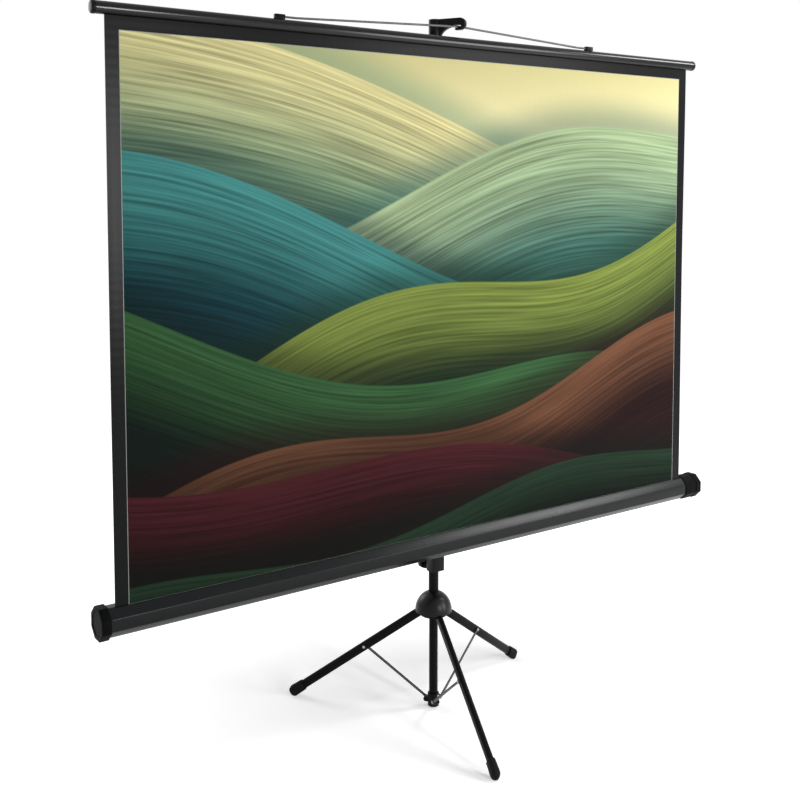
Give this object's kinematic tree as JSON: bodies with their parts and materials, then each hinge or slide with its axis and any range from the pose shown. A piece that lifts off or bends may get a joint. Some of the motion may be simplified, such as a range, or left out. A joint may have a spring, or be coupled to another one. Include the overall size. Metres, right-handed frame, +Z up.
{
  "type": "tripod projection screen",
  "caption": "Free-standing projection screen: a spring-roller case on a telescoping mast over a folding tripod base, its fabric drawn up and held by a wire bail on a hook.",
  "frame": {"origin": "on the floor under the middle of the whole object's box", "axes": "+Z up, +X along the case to the right as seen from the front, the picture faces -Y"},
  "size_m": [1.796, 0.6382, 1.7178],
  "materials": {
    "black_paint": "satin black powder coat on steel",
    "case_paint": "satin black powder coat on extruded aluminium",
    "black_plastic": "moulded black ABS with a fine grain",
    "black_rubber": "moulded black rubber",
    "bare_steel": "zinc-plated steel",
    "roller_metal": "mill-finish aluminium tube",
    "screen_cloth": "matt coated screen fabric with a black border"
  },
  "bodies": {
    "base": {"spreader_rod": "black_paint", "spreader_collar": "black_plastic", "collar_rivet": "bare_steel"},
    "mast": {"mast_tube": "black_paint", "hub_core": "black_plastic", "hub_dome": "black_plastic", "leg_pin_right": "bare_steel", "leg_pin_left": "bare_steel", "leg_pin_front": "bare_steel", "mast_collar": "black_plastic"},
    "leg_right": {"leg_tube_right": "black_paint", "leg_foot_right": "black_rubber", "leg_rivet_right": "bare_steel"},
    "leg_left": {"leg_tube_left": "black_paint", "leg_foot_left": "black_rubber", "leg_rivet_left": "bare_steel"},
    "leg_front": {"leg_tube_front": "black_paint", "leg_foot_front": "black_rubber", "leg_rivet_front": "bare_steel"},
    "brace_right": {"leg_brace_right": "bare_steel", "brace_rivet_right": "bare_steel"},
    "brace_left": {"leg_brace_left": "bare_steel", "brace_rivet_left": "bare_steel"},
    "brace_front": {"leg_brace_front": "bare_steel", "brace_rivet_front": "bare_steel"},
    "mast_knob": {"mast_knob": "black_plastic"},
    "carriage": {"carriage": "black_plastic", "case_screw_left": "bare_steel", "case_screw_right": "bare_steel", "case_shell": "case_paint", "case_cap_left": "black_plastic", "case_cap_right": "black_plastic", "spring_shaft": "bare_steel", "return_spring": "bare_steel", "screen_fabric": "screen_cloth"},
    "carriage_knob": {"carriage_knob": "black_plastic"},
    "roller": {"roller_tube": "roller_metal", "roller_plug_left": "black_plastic", "roller_plug_right": "black_plastic", "fabric_roll": "screen_cloth"},
    "top": {"extension_tube": "black_paint", "extension_bush": "black_plastic", "hook_arm": "black_plastic", "hook_rivet": "bare_steel", "top_slat": "black_paint", "slat_plug_left": "black_plastic", "slat_plug_right": "black_plastic", "hem_rod": "bare_steel", "bail_wire": "black_paint", "bail_clip_left": "black_paint", "bail_clip_right": "black_paint"}
  },
  "joints": [
    {"name": "tripod_fold", "type": "slide", "parent": "base", "child": "mast", "axis": [0, 0, 1], "range_m": [0, 0.1539]},
    {"name": "leg_hinge_right", "type": "hinge", "parent": "mast", "child": "leg_right", "pos_m": [0.00899, 0.05583, 0.25], "axis": [-0.2656, 0.9641, 0], "range_deg": [0, 50.7]},
    {"name": "leg_hinge_left", "type": "hinge", "parent": "mast", "child": "leg_left", "pos_m": [-0.03794, 0.06806, 0.25], "axis": [-0.7022, -0.712, 0], "range_deg": [0, 50.7]},
    {"name": "leg_hinge_front", "type": "hinge", "parent": "mast", "child": "leg_front", "pos_m": [-0.02506, 0.0213, 0.25], "axis": [0.9677, -0.2521, 0], "range_deg": [0, 50.7]},
    {"name": "brace_hinge_right", "type": "hinge", "parent": "leg_right", "child": "brace_right", "pos_m": [0.15377, 0.09571, 0.14367], "axis": [-0.2656, 0.9641, 0], "range_deg": [-96.65, 0]},
    {"name": "brace_hinge_left", "type": "hinge", "parent": "leg_left", "child": "brace_left", "pos_m": [-0.14486, 0.1735, 0.14367], "axis": [-0.7022, -0.712, 0], "range_deg": [-96.65, 0]},
    {"name": "brace_hinge_front", "type": "hinge", "parent": "leg_front", "child": "brace_front", "pos_m": [-0.06291, -0.12402, 0.14367], "axis": [0.9677, -0.2521, 0], "range_deg": [-96.65, 0]},
    {"name": "screen_raise", "type": "slide", "parent": "mast", "child": "carriage", "axis": [0, 0, 1], "range_m": [-0.03, 0.1]},
    {"name": "screen_draw", "type": "slide", "parent": "carriage", "child": "top", "axis": [0, 0, 1], "range_m": [-0.48, 0], "deforming": ["screen_fabric"]},
    {"name": "roller_spin", "type": "hinge", "parent": "carriage", "child": "roller", "pos_m": [0, 0.0043, 0.4385], "axis": [1, 0, 0], "range_deg": [0, 1800]},
    {"name": "mast_knob_turn", "type": "hinge", "parent": "mast", "child": "mast_knob", "pos_m": [-0.018, 0.0484, 1.095], "axis": [0, 1, 0], "range_deg": [0, 300]},
    {"name": "carriage_knob_turn", "type": "hinge", "parent": "carriage", "child": "carriage_knob", "pos_m": [-0.018, 0.0484, 0.366], "axis": [0, 1, 0], "range_deg": [0, 300]}
  ],
  "couplings": [
    {"joint": "leg_hinge_right", "follows": "tripod_fold", "rad_per_m": 5.7484},
    {"joint": "leg_hinge_left", "follows": "tripod_fold", "rad_per_m": 5.7484},
    {"joint": "leg_hinge_front", "follows": "tripod_fold", "rad_per_m": 5.7484},
    {"joint": "brace_hinge_right", "follows": "tripod_fold", "rad_per_m": -10.956},
    {"joint": "brace_hinge_left", "follows": "tripod_fold", "rad_per_m": -10.956},
    {"joint": "brace_hinge_front", "follows": "tripod_fold", "rad_per_m": -10.956},
    {"joint": "roller_spin", "follows": "screen_draw", "rad_per_m": -65.359}
  ]
}
